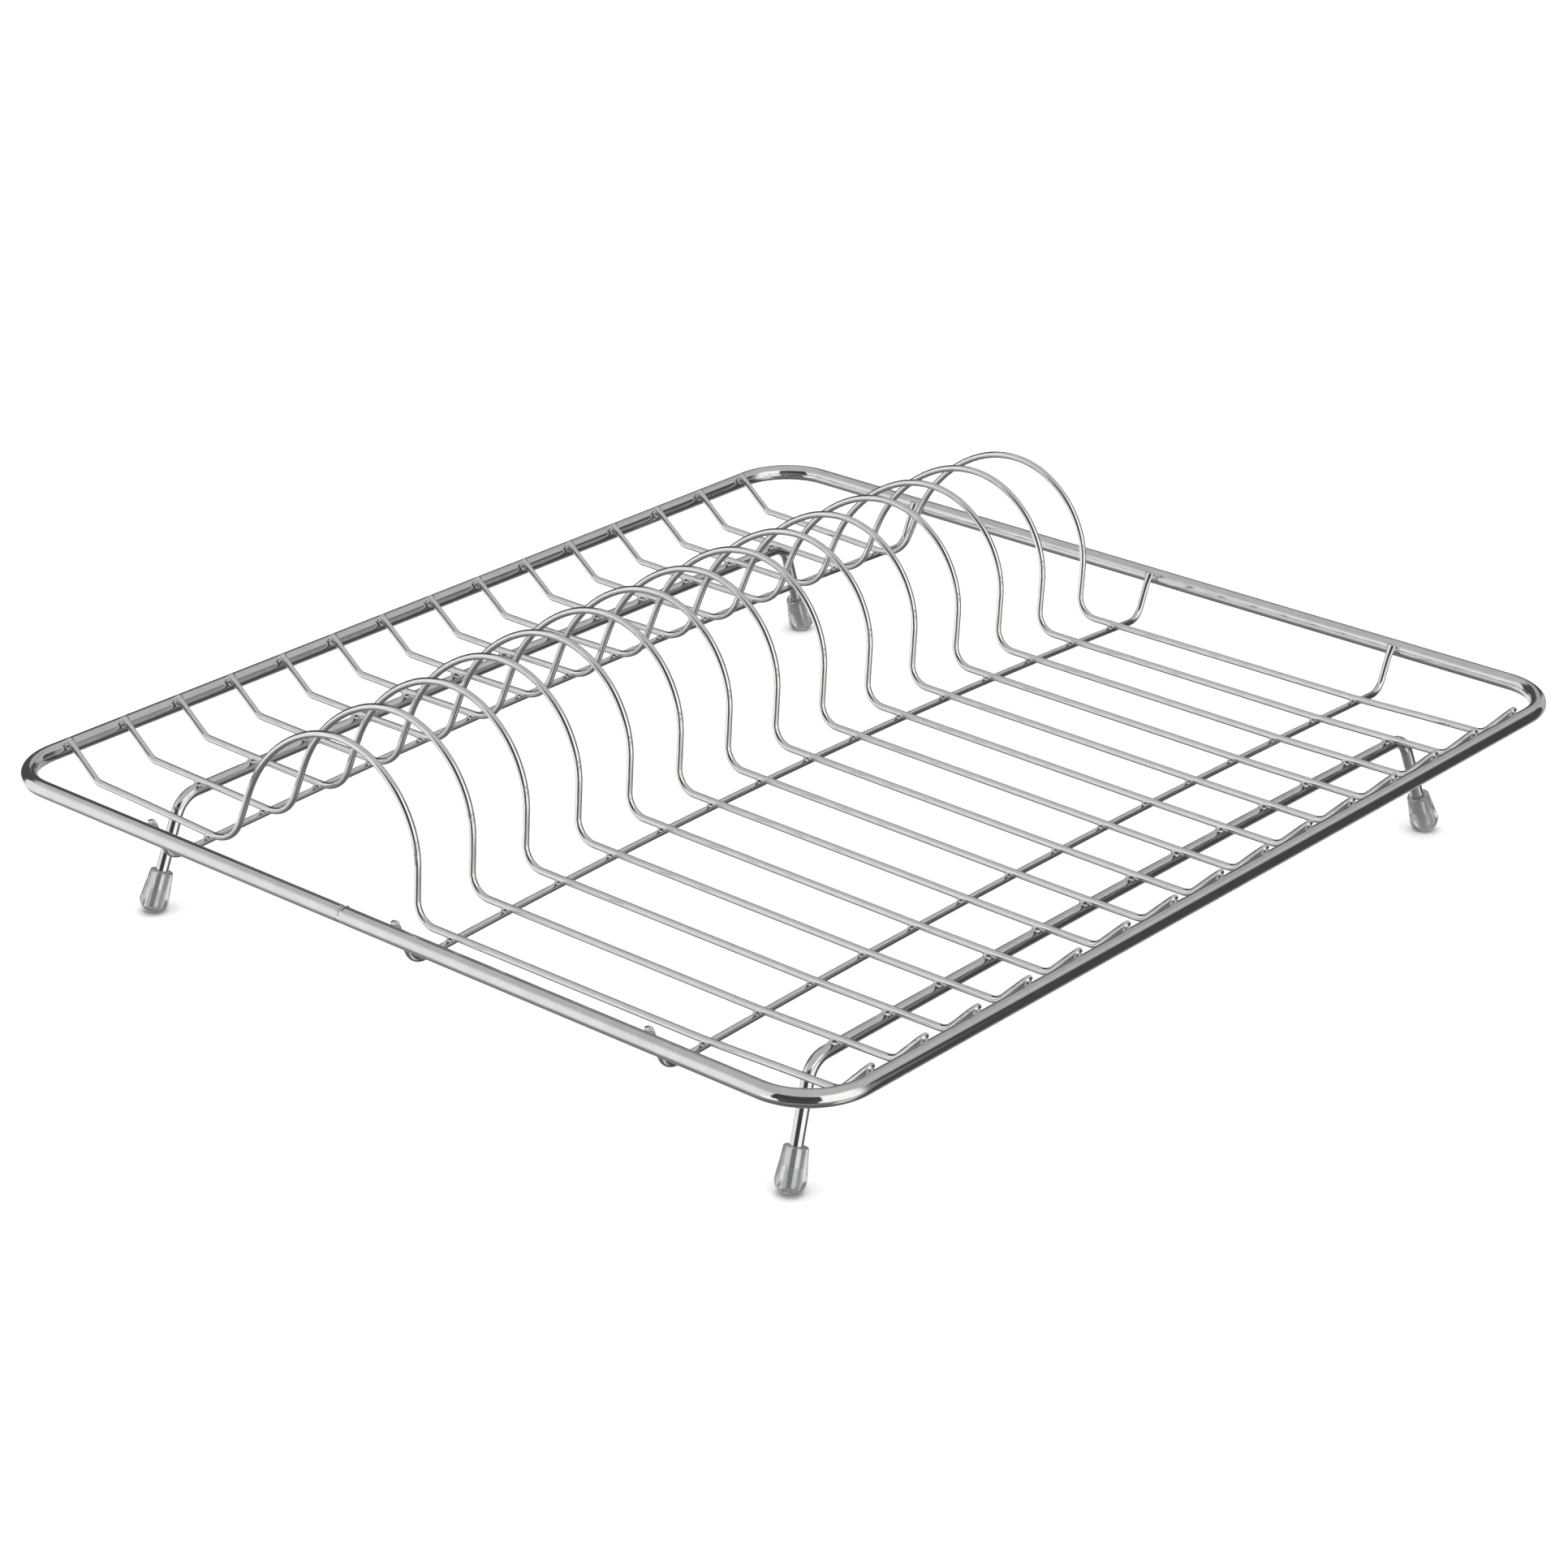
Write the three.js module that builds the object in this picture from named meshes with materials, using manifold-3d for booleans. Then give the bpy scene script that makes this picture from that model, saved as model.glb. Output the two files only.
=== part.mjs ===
// Dish drying rack: plated steel wires welded to a rim, standing on four push-on foot caps.
// Millimetres, +Z up, long side along X. The origin is the centre of the footprint, on the surface
// that the rack stands on. "Front" is -Y, where the tray is; the plate hoops are nearer the rear, +Y.
import * as THREE from 'three';
import { mergeVertices } from 'three/addons/utils/BufferGeometryUtils.js';
import Module from 'manifold-3d';

const wasm = await Module();
wasm.setup();

const degrees = THREE.MathUtils.degToRad;

// ---------------------------------------------------------------- driving dimensions

// Rim: sizes are between wire centre lines; height is from the table to the wire's centre.
const rim = {
  length: 410,
  width: 375.2,
  cornerRadius: 22,
  wireRadius: 3,
  height: 53,
  weldY: 15, // place of the butt weld along the left side
};
// The bead is ground flush outside and underneath, and stands a little proud inside and on top.
const weldBead = { radius: 3.15, length: 2.6, chamfer: 0.5, inward: 0.15, upward: 0.1 };

// Plate wires: one row along X, every wire bent to the same outline in a plane across the rack.
const plateWires = { count: 15, pitch: 25.3, wireRadius: 1.25 };
const rowHalfLength = (plateWires.pitch * (plateWires.count - 1)) / 2;

// Height of the plate wires' centre line along the tray, from rear to front: "drop" is how far it
// lies below the rim's centre at the ends of the row, and "rise" how much higher the tray is domed
// at the middle of the row.
const tray = {
  rearBend: { y: 170.8, drop: 8.5, rise: 0.8 },
  rearBar: { y: 146.5, drop: 9.2, rise: 1.4 },
  rearFoot: { y: 100.3, drop: 11, rise: 4.4 },
  frontFoot: { y: 10.3, drop: 11.3, rise: 4.9 },
  frontCross: { y: -116.8, drop: 11, rise: 2.9 },
  frontBar: { y: -148.6, drop: 9.8, rise: 1.4 },
  frontBend: { y: -173, drop: 9, rise: 0.7 },
};
const trayStations = Object.values(tray);
const rearBendRadius = 5;
const frontBendRadius = 7.5;

// Hoop that keeps two plates apart. Its arcs run into one another: front arc, crest arc and
// shoulder arc. The front leg leans back under the front arc; the rear leg slopes down.
const hoop = {
  crestY: 42.8,
  crestHeight: 45, // above the rim's centre, at the ends of the row
  crestRise: 5.5,
  frontRadius: 34,
  frontTurn: degrees(94.2),
  crestRadius: 43,
  crestTurn: degrees(24),
  shoulderRadius: 60,
  rearSlope: degrees(66.4),
  frontFootRadius: 7.5,
  rearFootRadius: 16,
};

// Cross wires: under the plate wires, ends bent up to the short sides of the rim.
const crossWires = {
  places: { rear: 113, middle: -5.2, front: tray.frontCross.y },
  wireRadius: 1.25,
  bendX: 194,
  bendRadius: 7,
  steps: 12,
};

// Leg frames: one bar under the plate wires, with a leg bent down and outwards at each end.
const legFrames = {
  rear: { station: tray.rearBar, cornerX: 160, lean: 1 },
  front: { station: tray.frontBar, cornerX: 162.7, lean: -1 },
};
const legWireRadius = 2.25;
const legBendRadius = 9.5;
const legSplay = degrees(20); // outwards along X
const legTilt = degrees(4.5); // outwards along Y
const barSteps = 6;

// Foot caps: measured along the leg, from the end of the leg wire.
const cap = {
  topRadius: 4.1,
  topHeight: 12.8,
  lipChamfer: 0.4,
  domeRadius: 5.2,
  domeHeight: 4.4,
  domeCentre: 1.8, // widest place, above the end of the leg wire
  boreRadius: 2.5,
  boreDepthBelowLeg: 0.3,
  flatDepth: 0.4, // how much the dome is flattened where it rests on the table
};

const weldGap = 0.05; // between wires that touch
const bendStep = degrees(16); // largest turn between two sections of a swept bend

// ---------------------------------------------------------------- materials

function chrome(name) {
  return new THREE.MeshStandardMaterial({ name, color: 0xc9cccd, roughness: 0.12, metalness: 1 });
}

const rimChrome = chrome('rim_chrome');
const wireChrome = chrome('wire_chrome');
const legChrome = chrome('leg_chrome');
const clearPlastic = new THREE.MeshStandardMaterial({
  name: 'clear_plastic',
  color: 0xd3dadc,
  roughness: 0.25,
  metalness: 0,
  transparent: true,
  opacity: 0.55,
});

// ---------------------------------------------------------------- wires

// A centre line through given points, with one swept section at each point.
class WirePath extends THREE.Curve {
  constructor(points) {
    super();
    this.points = points;
  }

  getUtoTmapping(u) {
    return u;
  }

  getPoint(t, target = new THREE.Vector3()) {
    const last = this.points.length - 1;
    const index = Math.min(Math.floor(t * last + 1e-9), last - 1);
    return target.lerpVectors(this.points[index], this.points[index + 1], t * last - index);
  }

  // Halfway between the directions on either side, so that each section mitres its bend.
  getTangent(t, target = new THREE.Vector3()) {
    const last = this.points.length - 1;
    const index = Math.round(t * last);
    const before = this.direction(Math.max(index - 1, 0));
    const after = this.direction(Math.min(index, last - 1));
    return target.copy(before).add(after).normalize();
  }

  direction(index) {
    return new THREE.Vector3().subVectors(this.points[index + 1], this.points[index]).normalize();
  }
}

function circleShape(radius, sides) {
  const corners = Array.from({ length: sides }, (_, k) => {
    const angle = (2 * Math.PI * k) / sides;
    return new THREE.Vector2(radius * Math.cos(angle), radius * Math.sin(angle));
  });
  return new THREE.Shape(corners);
}

function sweptWire(points, radius, sides) {
  return new THREE.ExtrudeGeometry(circleShape(radius, sides), {
    steps: points.length - 1,
    extrudePath: new WirePath(points),
  });
}

function corner(x, y, z, radius = 0) {
  return { point: new THREE.Vector3(x, y, z), radius };
}

// Points of the arc that rounds off one corner of a wire.
function bendPoints(previous, { point, radius }, next) {
  const toPrevious = new THREE.Vector3().subVectors(previous, point).normalize();
  const toNext = new THREE.Vector3().subVectors(next, point).normalize();
  const turn = Math.PI - toPrevious.angleTo(toNext);
  const start = point.clone().addScaledVector(toPrevious, radius * Math.tan(turn / 2));
  const bisector = new THREE.Vector3().addVectors(toPrevious, toNext).normalize();
  const centre = point.clone().addScaledVector(bisector, radius / Math.cos(turn / 2));
  const axis = new THREE.Vector3().crossVectors(toNext, toPrevious).normalize();
  const steps = Math.ceil(turn / bendStep);
  return Array.from({ length: steps + 1 }, (_, k) =>
    start.clone().sub(centre).applyAxisAngle(axis, (turn * k) / steps).add(centre));
}

// Centre line of a wire through a list of corners, each bent to its own radius.
function bentWire(corners) {
  const points = corners.flatMap((item, k) => {
    const isEnd = k === 0 || k === corners.length - 1;
    if (isEnd || item.radius === 0) return [item.point];
    return bendPoints(corners[k - 1].point, item, corners[k + 1].point);
  });
  return points.filter((point, k) => k === 0 || point.distanceTo(points[k - 1]) > 1e-3);
}

// End of a wire that rises from a bend until it lies against the inside of the rim. "out" is the
// distance from the middle of the rack, and z is the height above the table.
function tipOnRim(bend, rimOut, wireRadius) {
  const across = rimOut - bend.out;
  const up = rim.height - bend.z;
  const distance = Math.hypot(across, up);
  const contact = rim.wireRadius + wireRadius + weldGap;
  const slope = Math.atan2(up, across) + Math.asin(contact / distance);
  const length = Math.sqrt(distance ** 2 - contact ** 2);
  return { out: bend.out + length * Math.cos(slope), z: bend.z + length * Math.sin(slope) };
}

// Share of the dome's rise at a place along the row: all at the middle, none at the end wires.
function domeShare(x) {
  return 1 - (x / rowHalfLength) ** 2;
}

function stationHeight(station, x) {
  return rim.height - station.drop + station.rise * domeShare(x);
}

// Height of the plate wires' centre line over any place in the tray.
function trayHeight(x, y) {
  const next = trayStations.findIndex((station) => station.y <= y);
  const behind = trayStations[next - 1];
  const ahead = trayStations[next];
  const share = (behind.y - y) / (behind.y - ahead.y);
  return THREE.MathUtils.lerp(stationHeight(behind, x), stationHeight(ahead, x), share);
}

// ---------------------------------------------------------------- rim

function toSolid(geometry) {
  const bare = geometry.clone();
  bare.deleteAttribute('normal');
  bare.deleteAttribute('uv');
  const merged = mergeVertices(bare, 1e-4);
  return new wasm.Manifold(new wasm.Mesh({
    numProp: 3,
    vertProperties: Float32Array.from(merged.attributes.position.array),
    triVerts: Uint32Array.from(merged.index.array),
  }));
}

function fromSolid(solid) {
  const mesh = solid.getMesh();
  const geometry = new THREE.BufferGeometry();
  geometry.setAttribute('position', new THREE.BufferAttribute(mesh.vertProperties, 3));
  geometry.setIndex(new THREE.BufferAttribute(mesh.triVerts, 1));
  return geometry;
}

// Raised ring left by the butt weld that closes the rim, lying along Y.
function weldBeadGeometry() {
  const { radius, length, chamfer } = weldBead;
  const outline = [
    [0, -length / 2],
    [radius - chamfer, -length / 2],
    [radius, chamfer - length / 2],
    [radius, length / 2 - chamfer],
    [radius - chamfer, length / 2],
    [0, length / 2],
  ].map(([out, along]) => new THREE.Vector2(out, along));
  const x = weldBead.inward - rim.length / 2;
  const z = weldBead.upward + rim.height;
  return new THREE.LatheGeometry(outline, 12).translate(x, rim.weldY, z);
}

// One wire bent round the four corners; its two ends meet inside the weld bead.
function rimGeometry() {
  const [x, y, z] = [rim.length / 2, rim.width / 2, rim.height];
  const endGap = weldBead.length / 8;
  const points = bentWire([
    corner(-x, rim.weldY - endGap, z),
    corner(-x, -y, z, rim.cornerRadius),
    corner(x, -y, z, rim.cornerRadius),
    corner(x, y, z, rim.cornerRadius),
    corner(-x, y, z, rim.cornerRadius),
    corner(-x, rim.weldY + endGap, z),
  ]);
  const ring = toSolid(sweptWire(points, rim.wireRadius, 12));
  return fromSolid(ring.add(toSolid(weldBeadGeometry())));
}

// ---------------------------------------------------------------- plate wires

// Corners of the hoop from rear to front. Where two arcs run into one another, the distance between
// their corners is the sum of both arcs' tangent lengths.
function hoopCorners(x) {
  const crestZ = rim.height + hoop.crestHeight + hoop.crestRise * domeShare(x);
  const crestTangent = hoop.crestRadius * Math.tan(hoop.crestTurn / 2);
  const shoulderTurn = hoop.rearSlope - hoop.crestTurn;
  const shoulderTangent = hoop.shoulderRadius * Math.tan(shoulderTurn / 2);
  const toShoulder = crestTangent + shoulderTangent;

  const crestCornerY = hoop.crestY + crestTangent;
  const shoulderY = crestCornerY + toShoulder * Math.cos(hoop.crestTurn);
  const shoulderZ = crestZ - toShoulder * Math.sin(hoop.crestTurn);
  const rearFootZ = stationHeight(tray.rearFoot, x);
  const rearFootY = shoulderY + (shoulderZ - rearFootZ) / Math.tan(hoop.rearSlope);

  const frontCornerY = hoop.crestY - hoop.frontRadius * Math.tan(hoop.frontTurn / 2);
  const frontFootZ = stationHeight(tray.frontFoot, x);
  const frontFootY = frontCornerY - (crestZ - frontFootZ) / Math.tan(hoop.frontTurn);

  return [
    corner(x, rearFootY, rearFootZ, hoop.rearFootRadius),
    corner(x, shoulderY, shoulderZ, hoop.shoulderRadius),
    corner(x, crestCornerY, crestZ, hoop.crestRadius),
    corner(x, frontCornerY, crestZ, hoop.frontRadius),
    corner(x, frontFootY, frontFootZ, hoop.frontFootRadius),
  ];
}

function plateWireGeometry(x) {
  const rimOut = rim.width / 2;
  const rearBendZ = stationHeight(tray.rearBend, x);
  const frontBendZ = stationHeight(tray.frontBend, x);
  const rearBend = { out: tray.rearBend.y, z: rearBendZ };
  const frontBend = { out: -tray.frontBend.y, z: frontBendZ };
  const rearTip = tipOnRim(rearBend, rimOut, plateWires.wireRadius);
  const frontTip = tipOnRim(frontBend, rimOut, plateWires.wireRadius);
  const points = bentWire([
    corner(x, rearTip.out, rearTip.z),
    corner(x, tray.rearBend.y, rearBendZ, rearBendRadius),
    corner(x, tray.rearBar.y, stationHeight(tray.rearBar, x)),
    ...hoopCorners(x),
    corner(x, tray.frontCross.y, stationHeight(tray.frontCross, x)),
    corner(x, tray.frontBar.y, stationHeight(tray.frontBar, x)),
    corner(x, tray.frontBend.y, frontBendZ, frontBendRadius),
    corner(x, -frontTip.out, frontTip.z),
  ]);
  return sweptWire(points, plateWires.wireRadius, 8);
}

// ---------------------------------------------------------------- cross wires and leg frames

function crossWireGeometry(y) {
  const below = plateWires.wireRadius + crossWires.wireRadius + weldGap;
  const height = (x) => trayHeight(x, y) - below;
  const bend = { out: crossWires.bendX, z: height(crossWires.bendX) };
  const tip = tipOnRim(bend, rim.length / 2, crossWires.wireRadius);
  const run = Array.from({ length: crossWires.steps + 1 }, (_, k) => {
    const x = rowHalfLength * ((2 * k) / crossWires.steps - 1);
    return corner(x, y, height(x));
  });
  const points = bentWire([
    corner(-tip.out, y, tip.z),
    corner(-bend.out, y, bend.z, crossWires.bendRadius),
    ...run,
    corner(bend.out, y, bend.z, crossWires.bendRadius),
    corner(tip.out, y, tip.z),
  ]);
  return sweptWire(points, crossWires.wireRadius, 8);
}

// Direction down the leg at one end of a frame: side is -1 at the left and +1 at the right.
function legDirection(side, lean) {
  return new THREE.Vector3(side * Math.tan(legSplay), lean * Math.tan(legTilt), -1).normalize();
}

// The leg wire ends where its cap's dome, flattened a little, touches the table.
function legEndHeight() {
  const upright = -legDirection(1, 1).z;
  const lean = Math.sqrt(1 - upright ** 2);
  const domeReach = Math.hypot(cap.domeRadius * lean, cap.domeHeight * upright);
  return domeReach - cap.flatDepth - cap.domeCentre * upright;
}

function legCorner({ station, cornerX }, side) {
  const below = plateWires.wireRadius + legWireRadius + weldGap;
  const x = side * cornerX;
  return new THREE.Vector3(x, station.y, stationHeight(station, x) - below);
}

function legEnd(frame, side) {
  const top = legCorner(frame, side);
  const down = legDirection(side, frame.lean);
  return top.clone().addScaledVector(down, (legEndHeight() - top.z) / down.z);
}

function legFrameGeometry(frame) {
  const below = plateWires.wireRadius + legWireRadius + weldGap;
  const left = legCorner(frame, -1);
  const right = legCorner(frame, 1);
  const barHalf = frame.cornerX - legBendRadius;
  const bar = Array.from({ length: barSteps + 1 }, (_, k) => {
    const x = barHalf * ((2 * k) / barSteps - 1);
    return corner(x, frame.station.y, stationHeight(frame.station, x) - below);
  });
  const points = bentWire([
    { point: legEnd(frame, -1), radius: 0 },
    { point: left, radius: legBendRadius },
    ...bar,
    { point: right, radius: legBendRadius },
    { point: legEnd(frame, 1), radius: 0 },
  ]);
  return sweptWire(points, legWireRadius, 10);
}

// ---------------------------------------------------------------- foot caps

// Half section of a cap about its own axis: dome, tapered side, lip, and the bore for the leg wire.
function capOutline() {
  const domeSteps = 5;
  const dome = Array.from({ length: domeSteps + 1 }, (_, k) => {
    const angle = (Math.PI / 2) * (k / domeSteps);
    return [cap.domeRadius * Math.sin(angle), cap.domeCentre - cap.domeHeight * Math.cos(angle)];
  });
  const side = [
    [cap.topRadius, cap.topHeight - cap.lipChamfer],
    [cap.topRadius - cap.lipChamfer, cap.topHeight],
    [cap.boreRadius, cap.topHeight],
    [cap.boreRadius, -cap.boreDepthBelowLeg],
    [0, -cap.boreDepthBelowLeg],
  ];
  return [...dome, ...side].map(([out, along]) => new THREE.Vector2(out, along));
}

// A cap pushed onto the end of a leg, flattened where it rests on the table.
function footCapGeometry(frame, side) {
  const up = legDirection(side, frame.lean).negate();
  const turn = new THREE.Quaternion().setFromUnitVectors(new THREE.Vector3(0, 1, 0), up);
  const foot = legEnd(frame, side);
  const whole = new THREE.LatheGeometry(capOutline(), 16)
    .applyQuaternion(turn)
    .translate(foot.x, foot.y, foot.z);
  const size = 4 * cap.domeRadius;
  const table = new THREE.BoxGeometry(size, size, size).translate(foot.x, foot.y, -size / 2);
  return fromSolid(toSolid(whole).subtract(toSolid(table)));
}

// ---------------------------------------------------------------- assembly

const rack = new THREE.Group();

function addPiece(name, geometry, material) {
  const mesh = new THREE.Mesh(geometry, material);
  mesh.name = name;
  rack.add(mesh);
}

addPiece('rim', rimGeometry(), rimChrome);

for (let k = 0; k < plateWires.count; k += 1) {
  const number = String(k + 1).padStart(2, '0');
  const x = k * plateWires.pitch - rowHalfLength;
  addPiece(`plate_wire_${number}`, plateWireGeometry(x), wireChrome);
}

for (const [place, y] of Object.entries(crossWires.places)) {
  addPiece(`cross_wire_${place}`, crossWireGeometry(y), wireChrome);
}

for (const [place, frame] of Object.entries(legFrames)) {
  addPiece(`leg_frame_${place}`, legFrameGeometry(frame), legChrome);
  addPiece(`foot_cap_${place}_left`, footCapGeometry(frame, -1), clearPlastic);
  addPiece(`foot_cap_${place}_right`, footCapGeometry(frame, 1), clearPlastic);
}

export default rack;
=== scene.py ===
import math

import bpy
import numpy as np
from mathutils import Matrix, Vector, noise


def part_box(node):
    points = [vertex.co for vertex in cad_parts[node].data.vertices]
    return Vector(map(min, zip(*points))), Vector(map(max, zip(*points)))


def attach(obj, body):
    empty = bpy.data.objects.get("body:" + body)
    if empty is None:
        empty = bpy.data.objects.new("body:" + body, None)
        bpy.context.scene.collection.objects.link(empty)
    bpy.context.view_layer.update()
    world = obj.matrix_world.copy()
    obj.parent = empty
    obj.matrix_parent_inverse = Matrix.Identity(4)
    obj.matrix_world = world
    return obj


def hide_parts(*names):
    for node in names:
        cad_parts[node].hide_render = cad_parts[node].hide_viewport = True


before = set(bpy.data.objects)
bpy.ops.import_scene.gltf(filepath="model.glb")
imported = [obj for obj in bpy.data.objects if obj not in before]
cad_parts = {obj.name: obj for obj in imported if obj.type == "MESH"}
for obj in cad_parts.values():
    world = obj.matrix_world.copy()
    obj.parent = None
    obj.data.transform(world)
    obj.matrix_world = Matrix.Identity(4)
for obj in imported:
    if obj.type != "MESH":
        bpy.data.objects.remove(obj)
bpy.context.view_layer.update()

MM = 0.001
CM = 10.0  # one centimetre
AXIS_X = np.array([1.0, 0.0, 0.0])
AXIS_Y = np.array([0.0, 1.0, 0.0])
AXIS_Z = np.array([0.0, 0.0, 1.0])


# ---------------------------------------------------------------- sizes of the wires

RIM_RADIUS = 3.0
RIM_CORNER_RADIUS = 22.0
RIM_HEIGHT = 53.0
RIM_WELD_Y = 15.0
RIM_WELD_STEPS = (0.15, 0.3, 0.5, 0.75, 1.1, 1.5, 2.0, 2.6)

THIN_RADIUS = 1.25  # plate wires and cross wires
LEG_RADIUS = 2.25
WELD_GAP = 0.05  # between wires that touch

# The tray from rear to front: place along Y, how far a plate wire's centre line lies below the rim's
# centre at the ends of the row, and how much higher the domed tray is at the middle of the row.
TRAY = {
    "rear_bend": (170.8, 8.5, 0.8),
    "rear_bar": (146.5, 9.2, 1.4),
    "rear_foot": (100.3, 11.0, 4.4),
    "front_foot": (10.3, 11.3, 4.9),
    "front_cross": (-116.8, 11.0, 2.9),
    "front_bar": (-148.6, 9.8, 1.4),
    "front_bend": (-173.0, 9.0, 0.7),
}
REAR_BEND_RADIUS = 5.0
FRONT_BEND_RADIUS = 7.5

HOOP_CREST_Y = 42.8
HOOP_FRONT_RADIUS = 34.0
HOOP_FRONT_TURN = math.radians(94.2)
HOOP_CREST_RADIUS = 43.0
HOOP_CREST_TURN = math.radians(24.0)
HOOP_SHOULDER_RADIUS = 60.0
HOOP_REAR_SLOPE = math.radians(66.4)
HOOP_FRONT_FOOT_RADIUS = 7.5
HOOP_REAR_FOOT_RADIUS = 16.0

TIP_PAST_CONTACT = 0.9  # how far a thin wire's end stands up beyond its weld to the rim

CROSS_BEND_X = 194.0
CROSS_BEND_RADIUS = 7.0

LEG_CORNER_X = {"leg_frame_rear": 160.0, "leg_frame_front": 162.7}
LEG_BEND_RADIUS = 9.5
LEG_SPLAY = math.radians(20.0)  # outwards along X
LEG_TILT = math.radians(4.5)  # outwards along Y

CAP_TOP_RADIUS = 4.1
CAP_TOP_HEIGHT = 12.8
CAP_DOME_RADIUS = 5.2
CAP_DOME_HEIGHT = 4.4
CAP_DOME_CENTRE = 1.8
CAP_FLAT_DEPTH = 0.4


# ---------------------------------------------------------------- places, from the frame

def box_mm(node):
    low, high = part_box(node)
    return np.array(low) / MM, np.array(high) / MM


def middle_mm(node):
    low, high = box_mm(node)
    return (low + high) / 2


PLATE_WIRES = sorted(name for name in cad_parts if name.startswith("plate_wire_"))
CROSS_WIRES = sorted(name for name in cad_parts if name.startswith("cross_wire_"))
LEG_FRAMES = sorted(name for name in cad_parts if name.startswith("leg_frame_"))

RIM_HALF_X = box_mm("rim")[1][0] - RIM_RADIUS
RIM_HALF_Y = box_mm("rim")[1][1] - RIM_RADIUS
ROW_HALF_LENGTH = max(middle_mm(name)[0] for name in PLATE_WIRES)


def dome_share(x):
    return 1 - (x / ROW_HALF_LENGTH) ** 2


def station_height(station, x):
    drop, rise = TRAY[station][1:]
    return RIM_HEIGHT - drop + rise * dome_share(x)


def tray_height(x, y):
    """Height of the plate wires' centre line over a place in the tray."""
    stations = list(TRAY)
    ahead = next(k for k, name in enumerate(stations) if TRAY[name][0] <= y)
    rear, front = stations[ahead - 1], stations[ahead]
    share = (TRAY[rear][0] - y) / (TRAY[rear][0] - TRAY[front][0])
    return station_height(rear, x) * (1 - share) + station_height(front, x) * share


# ---------------------------------------------------------------- centre lines

BEND_STEP = math.radians(4)
STRAIGHT_STEP = 5.0
SAME_PLACE = 1e-4  # points of a centre line that lie closer than this are one
ARCH_POINTS = 49  # on a wire that follows the domed tray along X


def unit(vector):
    return vector / np.linalg.norm(vector)


def turned(vector, axis, angle):
    return np.array(Matrix.Rotation(angle, 3, Vector(axis)) @ Vector(vector))


def corner(x, y, z, radius=0.0):
    return np.array([x, y, z], float), radius


def bend_points(previous, point, radius, following):
    """Points of the arc that rounds off one corner of a wire."""
    to_previous = unit(previous - point)
    to_next = unit(following - point)
    turn = math.pi - math.acos(np.clip(to_previous @ to_next, -1, 1))
    start = point + to_previous * radius * math.tan(turn / 2)
    centre = point + unit(to_previous + to_next) * radius / math.cos(turn / 2)
    axis = unit(np.cross(to_next, to_previous))
    steps = max(2, math.ceil(turn / BEND_STEP))
    return [centre + turned(start - centre, axis, turn * k / steps) for k in range(steps + 1)]


def bent_wire(corners):
    """Centre line through a list of corners, each bent to its own radius, in short steps."""
    line = []
    for k, (point, radius) in enumerate(corners):
        if radius == 0 or k in (0, len(corners) - 1):
            line.append(point)
        else:
            line += bend_points(corners[k - 1][0], point, radius, corners[k + 1][0])
    fine = [line[0]]
    for point in line[1:]:
        run = np.linalg.norm(point - fine[-1])
        if run < SAME_PLACE:
            continue
        steps = max(1, math.ceil(run / STRAIGHT_STEP))
        start = fine[-1]
        fine += [start + (point - start) * (k + 1) / steps for k in range(steps)]
    return np.array(fine)


def tip_on_rim(out, z, rim_out):
    """End of a thin wire that rises from a bend until it lies against the inside of the rim, and a
    little further."""
    across = rim_out - out
    rise = RIM_HEIGHT - z
    distance = math.hypot(across, rise)
    contact = RIM_RADIUS + THIN_RADIUS + WELD_GAP
    slope = math.atan2(rise, across) + math.asin(contact / distance)
    length = math.sqrt(distance ** 2 - contact ** 2) + TIP_PAST_CONTACT
    return out + length * math.cos(slope), z + length * math.sin(slope)


def rim_line():
    """The rim's closed centre line, starting and ending at its butt weld, with short steps there."""
    x, y, z = RIM_HALF_X, RIM_HALF_Y, RIM_HEIGHT
    start = corner(-x, RIM_WELD_Y, z)
    after = [corner(-x, RIM_WELD_Y - step, z) for step in RIM_WELD_STEPS]
    before = [corner(-x, RIM_WELD_Y + step, z) for step in reversed(RIM_WELD_STEPS)]
    corners = [(-x, -y), (x, -y), (x, y), (-x, y)]
    bends = [corner(px, py, z, RIM_CORNER_RADIUS) for px, py in corners]
    return bent_wire([start, *after, *bends, *before, start])[:-1]


def hoop_corners(x, crest_z):
    """Corners of the hoop from rear to front. Where two arcs run into one another, the distance
    between their corners is the sum of both arcs' tangent lengths."""
    crest_tangent = HOOP_CREST_RADIUS * math.tan(HOOP_CREST_TURN / 2)
    shoulder_turn = HOOP_REAR_SLOPE - HOOP_CREST_TURN
    to_shoulder = crest_tangent + HOOP_SHOULDER_RADIUS * math.tan(shoulder_turn / 2)
    crest_corner_y = HOOP_CREST_Y + crest_tangent
    shoulder_y = crest_corner_y + to_shoulder * math.cos(HOOP_CREST_TURN)
    shoulder_z = crest_z - to_shoulder * math.sin(HOOP_CREST_TURN)
    rear_foot_z = station_height("rear_foot", x)
    rear_foot_y = shoulder_y + (shoulder_z - rear_foot_z) / math.tan(HOOP_REAR_SLOPE)
    front_corner_y = HOOP_CREST_Y - HOOP_FRONT_RADIUS * math.tan(HOOP_FRONT_TURN / 2)
    front_foot_z = station_height("front_foot", x)
    front_foot_y = front_corner_y - (crest_z - front_foot_z) / math.tan(HOOP_FRONT_TURN)
    return [
        corner(x, rear_foot_y, rear_foot_z, HOOP_REAR_FOOT_RADIUS),
        corner(x, shoulder_y, shoulder_z, HOOP_SHOULDER_RADIUS),
        corner(x, crest_corner_y, crest_z, HOOP_CREST_RADIUS),
        corner(x, front_corner_y, crest_z, HOOP_FRONT_RADIUS),
        corner(x, front_foot_y, front_foot_z, HOOP_FRONT_FOOT_RADIUS),
    ]


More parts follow.
